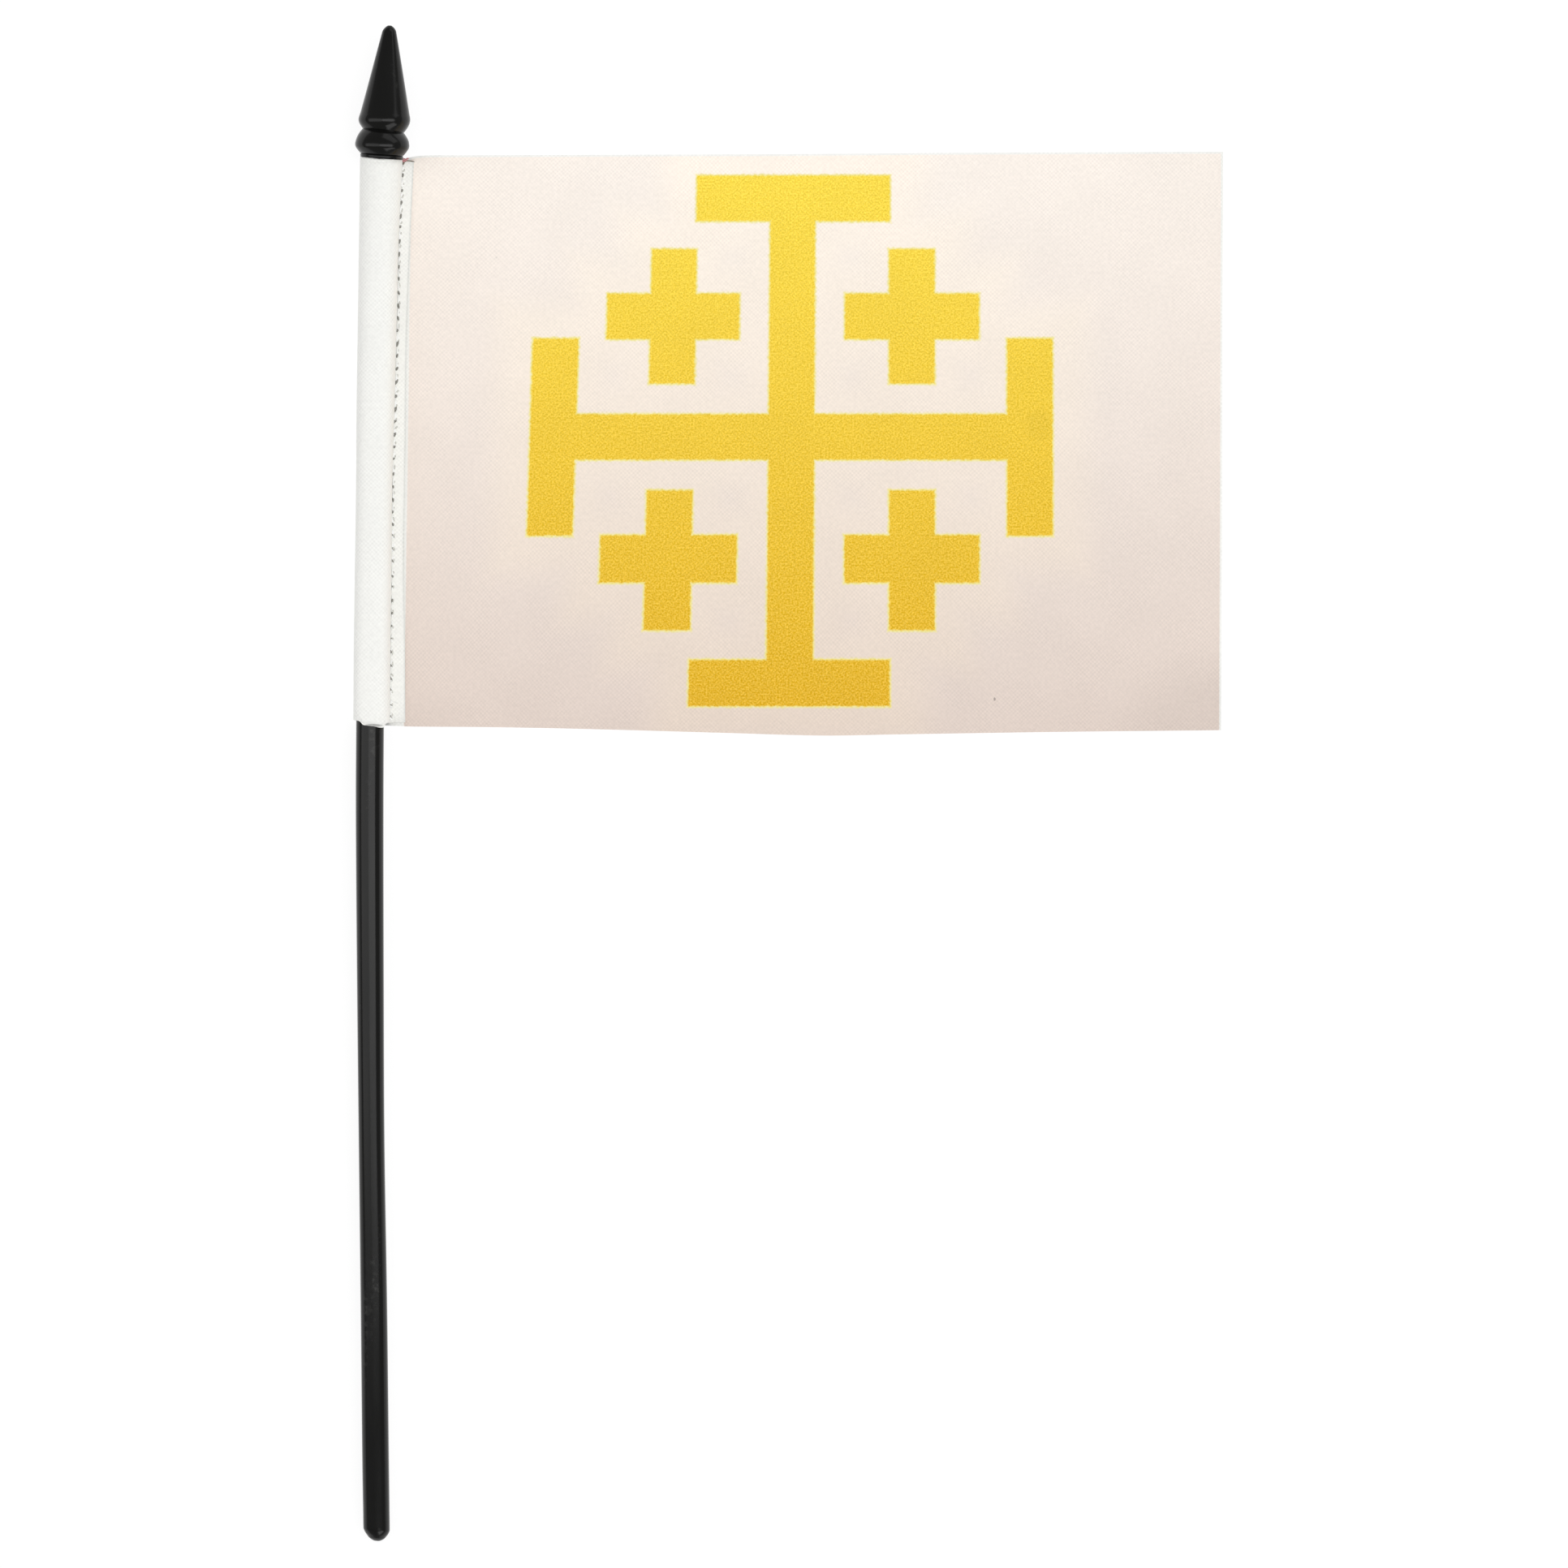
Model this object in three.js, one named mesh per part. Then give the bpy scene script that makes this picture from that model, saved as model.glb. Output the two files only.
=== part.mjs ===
// A small table flag lying on its back: one piece of printed cloth, folded over
// at the hoist into a sleeve, on a one-piece moulded pole with a spear head.
//
// Millimetres. +Y runs up the pole to the spear, +X runs from the pole to the
// fly edge, and +Z is up off the surface that the flag lies on.
// The origin is on that surface, in the middle of the flag's width and length.

import * as THREE from "three";

// Driving sizes of the pole and its spear head
const TIP_Y = 133.4;
const FOOT_Y = -133.4;
const BEAD_RADIUS = 4.75;
const POLE_SIDES = 24;
const POLE_RINGS = 16;
const HEAD_LEAN = 0.055;

// The spear head's turned outline, from the tip down.
const SPEAR = [
  { below: 0.0, radius: 0.35 },
  { below: 0.3, radius: 0.75 },
  { below: 0.65, radius: 1.05 },
  { below: 1.1, radius: 1.25 },
  { below: 15.4, radius: 4.3 },
  { below: 16.0, radius: 4.48 },
  { below: 16.6, radius: 4.55 },
  { below: 17.1, radius: 4.48 },
  { below: 17.5, radius: 4.28 },
  { below: 18.0, radius: 3.92 },
  { below: 18.3, radius: 3.74 },
  { below: 18.7, radius: 3.84 },
  { below: 19.2, radius: 4.1 },
  { below: 19.6, radius: 4.42 },
  { below: 20.1, radius: 4.68 },
  { below: 20.6, radius: BEAD_RADIUS },
  { below: 21.0, radius: BEAD_RADIUS },
  { below: 21.6, radius: 4.57 },
  { below: 22.2, radius: 4.3 },
  { below: 22.55, radius: 4.1 },
  { below: 22.75, radius: 3.88 },
  { below: 22.8, radius: 2.4 },
];
const HEAD_FOOT_Y = TIP_Y - SPEAR[SPEAR.length - 1].below;

// The rounded foot, from its small flat end up.
const FOOT_END = [
  { above: 0.0, radius: 0.55 },
  { above: 0.45, radius: 1.12 },
  { above: 1.05, radius: 1.7 },
  { above: 1.65, radius: 2.12 },
  { above: 2.2, radius: 2.34 },
];

// The pole is a little bent, and lies on its bead and its foot: where its axis
// runs, and how thick it is there.
const POLE_RUN = [
  { y: -133.4, x: -72.2, z: 2.26, radius: 2.34 },
  { y: -131.2, x: -72.2, z: 2.28, radius: 2.34 },
  { y: -120.0, x: -72.35, z: 2.43, radius: 2.36 },
  { y: -91.0, x: -72.65, z: 2.77, radius: 2.34 },
  { y: -62.0, x: -73.03, z: 3.08, radius: 2.28 },
  { y: -34.0, x: -73.22, z: 3.37, radius: 2.37 },
  { y: -5.0, x: -73.33, z: 3.66, radius: 2.45 },
  { y: 10.0, x: -73.25, z: 3.8, radius: 2.45 },
  { y: 35.0, x: -73.0, z: 4.03, radius: 2.43 },
  { y: 60.0, x: -72.55, z: 4.25, radius: 2.42 },
  { y: 85.0, x: -71.95, z: 4.45, radius: 2.4 },
  { y: 112.6, x: -71.05, z: 4.67, radius: 2.4 },
  { y: 133.4, x: -69.8, z: 4.85, radius: 2.4 },
];

// Driving sizes of the cloth
const CLOTH = 1.0;
const GAP = 0.33;
const SEAM_BEND = { run: 0.5, rise: 0.3 };
const FLY_TOP_X = 77.2;
const FLY_LOW_X = 76.85;
const PANEL_COLUMNS = 32;
const CLOTH_ROWS = 20;
const ARC_STEPS = 6;

// The sleeve, from the flag's foot to its top: the outside of its hoist fold,
// its seam, and the cut edge of the turned-over layer.
const SLEEVE = [
  { y: 10.2, fold: -76.15, seam: -69.7, edge: -67.3 },
  { y: 24.0, fold: -76.05, seam: -69.6, edge: -67.3 },
  { y: 38.0, fold: -75.85, seam: -69.4, edge: -67.5 },
  { y: 52.0, fold: -75.65, seam: -69.3, edge: -67.3 },
  { y: 66.0, fold: -75.55, seam: -68.9, edge: -67.1 },
  { y: 80.0, fold: -75.35, seam: -68.5, edge: -66.9 },
  { y: 95.0, fold: -75.15, seam: -68.2, edge: -66.4 },
  { y: 110.4, fold: -74.95, seam: -67.5, edge: -65.7 },
];

// The panel's upper and lower cut edges. The lower one dips in the middle.
const UPPER_EDGE = [
  { x: -76.0, y: 110.1 },
  { x: -69.0, y: 110.1 },
  { x: -65.0, y: 110.9 },
  { x: -60.0, y: 111.05 },
  { x: 4.5, y: 111.3 },
  { x: 33.0, y: 111.5 },
  { x: 77.2, y: 111.7 },
];
const LOWER_EDGE = [
  { x: -76.0, y: 10.5 },
  { x: -70.0, y: 10.3 },
  { x: -66.5, y: 10.15 },
  { x: -53.0, y: 10.05 },
  { x: -38.5, y: 9.8 },
  { x: -9.8, y: 9.0 },
  { x: 6.5, y: 8.55 },
  { x: 19.0, y: 8.75 },
  { x: 47.5, y: 9.2 },
  { x: 76.9, y: 9.5 },
];

// The turned-over layer's own upper and lower edges, by the share of the way
// across it from the fold to its cut edge.
const TURNOVER_TOP = [
  { across: 0.0, y: 110.4 },
  { across: 0.4, y: 109.9 },
  { across: 1.0, y: 109.85 },
];
const TURNOVER_LOW = [
  { across: 0.0, y: 11.3 },
  { across: 0.33, y: 10.8 },
  { across: 0.6, y: 10.55 },
  { across: 0.75, y: 10.85 },
  { across: 1.0, y: 10.9 },
];

// Soft ridges in the panel: middle, direction in degrees from +X, half length,
// half width and height.
const RIDGES = [
  { x: -59.0, y: 43.0, turn: -28, length: 13, width: 6, height: 0.45 },
  { x: -57.0, y: 82.0, turn: 14, length: 14, width: 6, height: 0.4 },
  { x: -66.0, y: 60.0, turn: 90, length: 42, width: 5, height: 0.4 },
  { x: 6.5, y: 10.0, turn: 90, length: 17, width: 14, height: 0.7 },
  { x: 76.0, y: 48.0, turn: 96, length: 26, width: 8, height: 0.6 },
  { x: 30.0, y: 110.0, turn: 4, length: 24, width: 6, height: 0.4 },
];
const RIDGE_FOOT = 0.06;

// A smooth curve through a table's rows: the column's value at a place. The rows
// run from the lowest place to the highest.
function through(rows, key, at, column) {
  const last = rows.length - 1;
  const place = THREE.MathUtils.clamp(at, rows[0][key], rows[last][key]);
  let i = 0;
  while (i < last - 1 && place > rows[i + 1][key]) i += 1;
  const slope = (a, b) =>
    (rows[b][column] - rows[a][column]) / (rows[b][key] - rows[a][key]);
  const span = rows[i + 1][key] - rows[i][key];
  const slopeIn = slope(Math.max(i - 1, 0), i + 1);
  const slopeOut = slope(i, Math.min(i + 2, last));
  const t = (place - rows[i][key]) / span;
  return (
    rows[i][column] * (2 * t ** 3 - 3 * t ** 2 + 1) +
    rows[i + 1][column] * (3 * t ** 2 - 2 * t ** 3) +
    slopeIn * span * (t ** 3 - 2 * t ** 2 + t) +
    slopeOut * span * (t ** 3 - t ** 2)
  );
}

// The pole's axis and radius at a height y.
function poleAt(y) {
  return {
    x: through(POLE_RUN, "y", y, "x"),
    z: through(POLE_RUN, "y", y, "z"),
    radius: through(POLE_RUN, "y", y, "radius"),
  };
}

// The pole and its head are one moulding: a turned outline, bent along its axis,
// with the head leaning a little. It is shaved flat where it meets the surface.
function poleGeometry() {
  const footRound = FOOT_Y + FOOT_END[FOOT_END.length - 1].above;
  const outline = [new THREE.Vector2(0, FOOT_Y)];
  for (const ring of FOOT_END)
    outline.push(new THREE.Vector2(ring.radius, FOOT_Y + ring.above));
  for (let k = 1; k < POLE_RINGS; k += 1) {
    const y = THREE.MathUtils.lerp(footRound, HEAD_FOOT_Y, k / POLE_RINGS);
    outline.push(new THREE.Vector2(poleAt(y).radius, y));
  }
  for (const ring of SPEAR.toReversed())
    outline.push(new THREE.Vector2(ring.radius, TIP_Y - ring.below));
  outline.push(new THREE.Vector2(0, TIP_Y));

  const halfSide = Math.PI / POLE_SIDES;
  const turned = new THREE.LatheGeometry(outline, POLE_SIDES, halfSide);
  const point = turned.attributes.position;
  for (let i = 0; i < point.count; i += 1) {
    const y = point.getY(i);
    const axis = poleAt(y);
    const lean = y > HEAD_FOOT_Y ? HEAD_LEAN : 0;
    point.setY(i, y - lean * point.getX(i));
    point.setX(i, axis.x + point.getX(i));
    point.setZ(i, Math.max(0, axis.z + point.getZ(i)));
  }
  return turned;
}

// How far the panel stands up off the surface.
function ridgeHeight(x, y) {
  let height = -RIDGE_FOOT;
  for (const ridge of RIDGES) {
    const turn = THREE.MathUtils.degToRad(ridge.turn);
    const [dx, dy] = [x - ridge.x, y - ridge.y];
    const along = (dx * Math.cos(turn) + dy * Math.sin(turn)) / ridge.length;
    const across = (dy * Math.cos(turn) - dx * Math.sin(turn)) / ridge.width;
    height += ridge.height * Math.exp(-along * along - across * across);
  }
  return Math.max(0, height);
}

// A point of the turned-over layer, at a share of the way up the flag.
function frontPoint(x, z, sleeve, share) {
  const across = THREE.MathUtils.inverseLerp(sleeve.fold, sleeve.edge, x);
  const low = through(TURNOVER_LOW, "across", across, "y");
  const top = through(TURNOVER_TOP, "across", across, "y");
  return new THREE.Vector3(x, THREE.MathUtils.lerp(low, top, share), z);
}

// A point of the back layer or the panel, at a share of the way up the flag.
function backPoint(x, z, share) {
  const low = through(LOWER_EDGE, "x", x, "y");
  const top = through(UPPER_EDGE, "x", x, "y");
  return new THREE.Vector3(x, THREE.MathUtils.lerp(low, top, share), z);
}

// Points on a stretch of an ellipse about the pole, without the first one.
function arcPoints(axis, from, to, wide, high) {
  const points = [];
  for (let k = 1; k <= ARC_STEPS; k += 1) {
    const angle = THREE.MathUtils.lerp(from, to, k / ARC_STEPS);
    const x = axis.x + wide * Math.cos(angle);
    points.push([x, axis.z + high * Math.sin(angle)]);
  }
  return points;
}

// One row of the cloth's middle surface: from the cut edge of the turned-over
// layer, down to the seam, over the pole, back under it, and to the fly edge.
function clothRow(share) {
  const last = SLEEVE.length - 1;
  const y = THREE.MathUtils.lerp(SLEEVE[0].y, SLEEVE[last].y, share);
  const sleeve = {
    fold: through(SLEEVE, "y", y, "fold"),
    seam: through(SLEEVE, "y", y, "seam"),
    edge: through(SLEEVE, "y", y, "edge"),
  };
  const pole = poleAt(y);
  const reach = pole.radius + GAP + CLOTH / 2;
  const aside = Math.max(reach, pole.x - sleeve.fold - CLOTH / 2);
  const onPanel = (x) => 1.5 * CLOTH + GAP + ridgeHeight(x, y);

  // From the seam the layer rises in a straight line that touches the circle
  // round the pole.
  const seamZ = onPanel(sleeve.seam) + SEAM_BEND.rise;
  const rise = seamZ - pole.z;
  const run = sleeve.seam - pole.x;
  const touch = Math.atan2(rise, run) + Math.acos(reach / Math.hypot(run, rise));
  const bend = sleeve.seam + SEAM_BEND.run;
  const front = [sleeve.edge, (sleeve.edge + bend) / 2, bend];
  const row = front.map((x) => frontPoint(x, onPanel(x), sleeve, share));
  const over = [
    [sleeve.seam, seamZ],
    [pole.x + reach * Math.cos(touch), pole.z + reach * Math.sin(touch)],
    ...arcPoints(pole, touch, Math.PI / 2, reach, reach),
    ...arcPoints(pole, Math.PI / 2, Math.PI, aside, reach),
  ];
  for (const [x, z] of over) row.push(frontPoint(x, z, sleeve, share));

  // Past the fold the edges of the two layers run into each other.
  const drop = pole.z - CLOTH / 2;
  for (const [x, z] of arcPoints(pole, Math.PI, 1.5 * Math.PI, aside, drop)) {
    const turned = (x - pole.x + aside) / aside;
    const under = backPoint(x, z, share);
    under.y = THREE.MathUtils.lerp(frontPoint(x, z, sleeve, share).y, under.y, turned);
    row.push(under);
  }
  const fly = THREE.MathUtils.lerp(FLY_LOW_X, FLY_TOP_X, share);
  for (let k = 1; k <= PANEL_COLUMNS; k += 1) {
    const x = THREE.MathUtils.lerp(pole.x, fly, k / PANEL_COLUMNS);
    row.push(backPoint(x, CLOTH / 2 + ridgeHeight(x, y), share));
  }
  return row;
}

// Which way the sheet's face looks at a point of a row, in x and z. It is drawn
// out at a bend, so that the sheet stays as thick there.
function faceDirection(row, i) {
  const last = row.length - 1;
  const step = (a, b) =>
    new THREE.Vector2(row[b].x - row[a].x, row[b].z - row[a].z).normalize();
  const before = step(Math.max(i - 1, 0), Math.max(i, 1));
  const after = step(Math.min(i, last - 1), Math.min(i + 1, last));
  const along = before.clone().add(after).normalize();
  const face = new THREE.Vector2(along.y, -along.x);
  return face.divideScalar(along.dot(before));
}

// A closed sheet of even thickness about a grid of middle points, never lower
// than the surface it lies on.
function sheetGeometry(rows) {
  const across = rows[0].length;
  const points = [];
  for (const half of [CLOTH / 2, -CLOTH / 2]) {
    for (const row of rows) {
      row.forEach((point, i) => {
        const face = faceDirection(row, i).multiplyScalar(half);
        points.push(point.x + face.x, point.y, Math.max(0, point.z + face.y));
      });
    }
  }
  const size = rows.length * across;
  const at = (side, j, i) => side * size + j * across + i;
  const faces = [];
  const quad = (a, b, c, d) => faces.push(a, b, c, a, c, d);
  for (let j = 0; j < rows.length - 1; j += 1) {
    for (let i = 0; i < across - 1; i += 1) {
      quad(at(0, j, i), at(0, j + 1, i), at(0, j + 1, i + 1), at(0, j, i + 1));
      quad(at(1, j, i), at(1, j, i + 1), at(1, j + 1, i + 1), at(1, j + 1, i));
    }
    quad(at(0, j, 0), at(1, j, 0), at(1, j + 1, 0), at(0, j + 1, 0));
    const end = across - 1;
    quad(at(0, j, end), at(0, j + 1, end), at(1, j + 1, end), at(1, j, end));
  }
  const top = rows.length - 1;
  for (let i = 0; i < across - 1; i += 1) {
    quad(at(0, 0, i), at(0, 0, i + 1), at(1, 0, i + 1), at(1, 0, i));
    quad(at(0, top, i), at(1, top, i), at(1, top, i + 1), at(0, top, i + 1));
  }
  const sheet = new THREE.BufferGeometry();
  sheet.setAttribute("position", new THREE.Float32BufferAttribute(points, 3));
  sheet.setIndex(faces);
  sheet.computeVertexNormals();
  return sheet;
}

function clothGeometry() {
  const rows = [];
  for (let j = 0; j <= CLOTH_ROWS; j += 1) rows.push(clothRow(j / CLOTH_ROWS));
  return sheetGeometry(rows);
}

const blackPlastic = new THREE.MeshStandardMaterial({
  color: "#1c1c1b",
  roughness: 0.38,
  metalness: 0,
});
const paleCloth = new THREE.MeshStandardMaterial({
  color: "#f6ece2",
  roughness: 0.85,
  metalness: 0,
});

const pole = new THREE.Mesh(poleGeometry(), blackPlastic);
pole.name = "pole";
const cloth = new THREE.Mesh(clothGeometry(), paleCloth);
cloth.name = "flag_cloth";

const tableFlag = new THREE.Group();
tableFlag.add(pole, cloth);

export default tableFlag;
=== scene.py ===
"""A small table flag lying on its back: one printed cloth with a sewn sleeve, on a black pole.

Metres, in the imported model's frame: +Y runs up the pole to its spear head, +X from the pole
to the fly edge, and +Z up off the surface that the flag lies on. The tables of measured
places are in millimetres.
"""

import logging
import math
from collections.abc import Sequence
from dataclasses import dataclass
from enum import Enum
from functools import partial

import bpy
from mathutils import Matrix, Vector


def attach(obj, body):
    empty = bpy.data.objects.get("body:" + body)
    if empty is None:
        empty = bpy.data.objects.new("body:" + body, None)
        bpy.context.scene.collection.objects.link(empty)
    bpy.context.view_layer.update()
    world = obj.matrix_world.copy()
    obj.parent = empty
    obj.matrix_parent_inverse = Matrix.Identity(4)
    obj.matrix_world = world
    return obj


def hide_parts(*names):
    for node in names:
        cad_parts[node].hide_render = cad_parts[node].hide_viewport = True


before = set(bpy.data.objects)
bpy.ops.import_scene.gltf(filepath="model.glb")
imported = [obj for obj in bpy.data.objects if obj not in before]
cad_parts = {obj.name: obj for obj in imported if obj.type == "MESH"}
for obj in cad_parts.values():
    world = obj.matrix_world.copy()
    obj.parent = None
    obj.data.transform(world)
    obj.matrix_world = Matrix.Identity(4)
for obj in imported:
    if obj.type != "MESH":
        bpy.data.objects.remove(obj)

log = logging.getLogger("table_flag")

MM = 0.001
BODY = "root"


class ClothFace(Enum):
    """The faces of the cloth, by the place of their finish on the piece."""

    PRINTED = 0
    REVERSE = 1


@dataclass(frozen=True)
class MeasuredCurve:
    """A smooth curve through a table of measured places, in millimetres.

    The first column is the place, and its rows run from the lowest to the highest.
    """

    columns: tuple[str, ...]
    rows: tuple[tuple[float, ...], ...]

    def read(self, column: str, place: float) -> float:
        """Read one column at a place.

        Args:
            column: the column's name.
            place: where to read, held to the table's ends.

        Returns:
            The value there.
        """
        c = self.columns.index(column)
        rows, last = self.rows, len(self.rows) - 1
        place = min(max(place, rows[0][0]), rows[last][0])
        i = 0
        while i < last - 1 and place > rows[i + 1][0]:
            i += 1

        def slope(a: int, b: int) -> float:
            """The mean slope between two rows."""
            return (rows[b][c] - rows[a][c]) / (rows[b][0] - rows[a][0])

        span = rows[i + 1][0] - rows[i][0]
        t = (place - rows[i][0]) / span
        return (
            rows[i][c] * (2 * t**3 - 3 * t**2 + 1)
            + rows[i + 1][c] * (3 * t**2 - 2 * t**3)
            + slope(max(i - 1, 0), i + 1) * span * (t**3 - 2 * t**2 + t)
            + slope(i, min(i + 2, last)) * span * (t**3 - t**2)
        )


@dataclass(frozen=True)
class Fold:
    """A soft ridge or trough of the cloth, in millimetres.

    turn is its direction in degrees from +X, length and width are where it has faded, and
    a negative height makes a trough.
    """

    x: float
    y: float
    turn: float
    length: float
    width: float
    height: float

    def rise(self, x: float, y: float) -> float:
        """How far it lifts the cloth at a place.

        Args:
            x: the place across.
            y: the place up.

        Returns:
            The rise, in millimetres.
        """
        turn = math.radians(self.turn)
        dx, dy = x - self.x, y - self.y
        along = (dx * math.cos(turn) + dy * math.sin(turn)) / self.length
        across = (dy * math.cos(turn) - dx * math.sin(turn)) / self.width
        return self.height * math.exp(-along * along - across * across)


def linear(sheet_colour: str) -> tuple[float, float, float, float]:
    """Turn an sRGB hex colour into a linear one with full alpha."""
    parts = [int(sheet_colour[i : i + 2], 16) / 255 for i in (1, 3, 5)]
    return (*(p / 12.92 if p <= 0.04045 else ((p + 0.055) / 1.055) ** 2.4 for p in parts), 1.0)


def smooth_step(low: float, high: float, value: float) -> float:
    """Rise softly from 0 at low to 1 at high."""
    t = min(max((value - low) / (high - low), 0.0), 1.0)
    return t * t * (3 - 2 * t)


def blend(a: float, b: float, share: float) -> float:
    """The value at a share of the way from a to b."""
    return a + (b - a) * share


def add(tree: bpy.types.NodeTree, kind: str, inputs: dict[int | str, object] | None = None,
        output: int | str = 0, **settings: object) -> bpy.types.NodeSocket:
    """Add one node with its settings and links.

    Args:
        tree: the node tree.
        kind: the node's type name.
        inputs: socket name or number, to its value or to the output that feeds it.
        output: which of its outputs is wanted.
        **settings: the node's own settings, such as its operation.

    Returns:
        The wanted output, whose node holds the others.
    """
    node = tree.nodes.new(kind)
    for name, value in settings.items():
        setattr(node, name, value)
    for key, value in (inputs or {}).items():
        if isinstance(value, bpy.types.NodeSocket):
            tree.links.new(value, node.inputs[key])
        else:
            node.inputs[key].default_value = value
    return node.outputs[output]


def new_material(name: str) -> tuple[bpy.types.Material, bpy.types.Node]:
    """Start a material.

    Args:
        name: the real finish's name.

    Returns:
        The material and its Principled shader.
    """
    material = bpy.data.materials.new(name)
    material.use_nodes = True
    return material, material.node_tree.nodes["Principled BSDF"]


def mesh_object(name: str, points: Sequence[Vector | tuple], faces: Sequence[Sequence[int]],
                creased_over: float = 180.0) -> bpy.types.Object:
    """Make a smooth mesh object at the origin.

    Args:
        name: the piece's name.
        points: its points, in metres.
        faces: its faces, as point numbers, counter-clockwise from outside.
        creased_over: the angle in degrees over which an edge stays sharp.

    Returns:
        The linked object.
    """
    mesh = bpy.data.meshes.new(name)
    mesh.from_pydata([tuple(p) for p in points], [], faces)
    mesh.validate()
    mesh.shade_smooth()
    if creased_over < 180:
        mesh.set_sharp_from_angle(angle=math.radians(creased_over))
    piece = bpy.data.objects.new(name, mesh)
    bpy.context.collection.objects.link(piece)
    return piece


@dataclass(frozen=True)
class MouldedPolypropylene:
    """Black injection-moulded polypropylene, satin from the mould's fine spark finish.

    The eye sees a soft long highlight with a slightly uneven edge, and faint scuffs in it.
    """

    black: str = "#0e0e0d"
    scuff: str = "#333331"
    roughness: float = 0.17
    grain_mm: float = 0.9
    scuff_mm: float = 3.0

    def material(self) -> bpy.types.Material:
        """Make the material.

        Returns:
            The material, as nodes.
        """
        made, shader = new_material("black_moulded_polypropylene")
        node = partial(add, made.node_tree)
        place = node("ShaderNodeTexCoord", output="Object")
        # Flow marks of the moulding run along the pole, a few millimetres apart.
        drawn_out = node("ShaderNodeMapping", {"Vector": place, "Scale": (1.0, 0.12, 1.0)})
        flow = node("ShaderNodeTexNoise", {"Vector": drawn_out, "Detail": 3.0,
                                           "Scale": 1 / (self.scuff_mm * MM)})
        grain = node("ShaderNodeTexNoise", {"Vector": place, "Detail": 2.0,
                                            "Scale": 1 / (self.grain_mm * MM)})
        rough = node("ShaderNodeMapRange", {
            "Value": flow, "From Min": 0.3, "From Max": 0.7,
            "To Min": self.roughness - 0.04, "To Max": self.roughness + 0.05})
        marked = node("ShaderNodeMapRange", {"Value": flow, "From Min": 0.6, "From Max": 0.72})
        rubbed = node("ShaderNodeMapRange", {"Value": grain, "From Min": 0.5, "From Max": 0.7})
        scuffs = node("ShaderNodeMath", {0: marked, 1: rubbed}, operation="MULTIPLY")
        colour = node("ShaderNodeMix", {0: scuffs, 6: linear(self.black), 7: linear(self.scuff)},
                      output=2, data_type="RGBA")
        bump = node("ShaderNodeBump", {"Height": grain, "Strength": 0.12, "Distance": 0.02 * MM})
        for name, source in (("Base Color", colour), ("Roughness", rough), ("Normal", bump)):
            made.node_tree.links.new(source, shader.inputs[name])
        # The fine finish takes part of the shine that bare polypropylene has.
        shader.inputs["IOR"].default_value = 1.49
        shader.inputs["Specular IOR Level"].default_value = 0.26
        return made


@dataclass(frozen=True)
class PotentCross:
    """The traditional figure: a cross with a bar over each arm's end, and a small cross in
    each quarter. Sizes are in millimetres on the flat cloth.

    It is the same across its upright, its level and its diagonal, so one eighth is drawn
    and folded out.
    """

    x: float = 0.92
    y: float = 61.3
    bar: float = 8.04
    reach: float = 42.15
    potent: float = 34.8
    quarter: float = 21.3
    small: float = 23.75

    def distance(self, tree: bpy.types.NodeTree,
                 place: bpy.types.NodeSocket) -> bpy.types.NodeSocket:
        """Nodes for how far a place is outside the figure, negative inside it.

        Args:
            tree: the material's tree.
            place: the output with the place on the flat cloth.

        Returns:
            The distance's output, in millimetres.
        """
        node = partial(add, tree)
        middle = node("ShaderNodeVectorMath", {0: place, 1: (self.x, self.y, 0.0)},
                      operation="SUBTRACT")
        folded = node("ShaderNodeVectorMath", {0: middle}, operation="ABSOLUTE")
        across, up, _ = node("ShaderNodeSeparateXYZ", {0: folded}).node.outputs
        near = node("ShaderNodeMath", {0: across, 1: up}, operation="MINIMUM")
        far = node("ShaderNodeMath", {0: across, 1: up}, operation="MAXIMUM")
        past_reach = node("ShaderNodeMath", {0: far, 1: self.reach}, operation="SUBTRACT")
        off_reach = node("ShaderNodeMath", {0: past_reach}, operation="ABSOLUTE")

        # The small cross, folded out about its own middle.
        corner = node("ShaderNodeVectorMath", {0: folded, 1: (self.quarter, self.quarter, 0.0)},
                      operation="SUBTRACT")
        small = node("ShaderNodeVectorMath", {0: corner}, operation="ABSOLUTE")
        small_across, small_up, _ = node("ShaderNodeSeparateXYZ", {0: small}).node.outputs
        small_near = node("ShaderNodeMath", {0: small_across, 1: small_up}, operation="MINIMUM")
        small_far = node("ShaderNodeMath", {0: small_across, 1: small_up}, operation="MAXIMUM")

        # The arm, its bar and the small cross are each a box on two of these distances.
        nearest = None
        for p, half_p, q, half_q in (
            (near, self.bar / 2, far, self.reach),
            (near, self.potent / 2, off_reach, self.bar / 2),
            (small_near, self.bar / 2, small_far, self.small / 2),
        ):
            past_p = node("ShaderNodeMath", {0: p, 1: half_p}, operation="SUBTRACT")
            past_q = node("ShaderNodeMath", {0: q, 1: half_q}, operation="SUBTRACT")
            box = node("ShaderNodeMath", {0: past_p, 1: past_q}, operation="MAXIMUM")
            nearest = box if nearest is None else node(
                "ShaderNodeMath", {0: nearest, 1: box}, operation="MINIMUM")
        return nearest


@dataclass(frozen=True)
class SpeckAndShade:
    """A dark speck of the cloth, or painted shade on a crease or other shaded place, in millimetres
    on the flat cloth.

    turn is its direction in degrees, and depth the share of light that it takes.
    """

    x: float
    y: float
    wide: float
    high: float
    depth: float
    turn: float = 0.0


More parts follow.
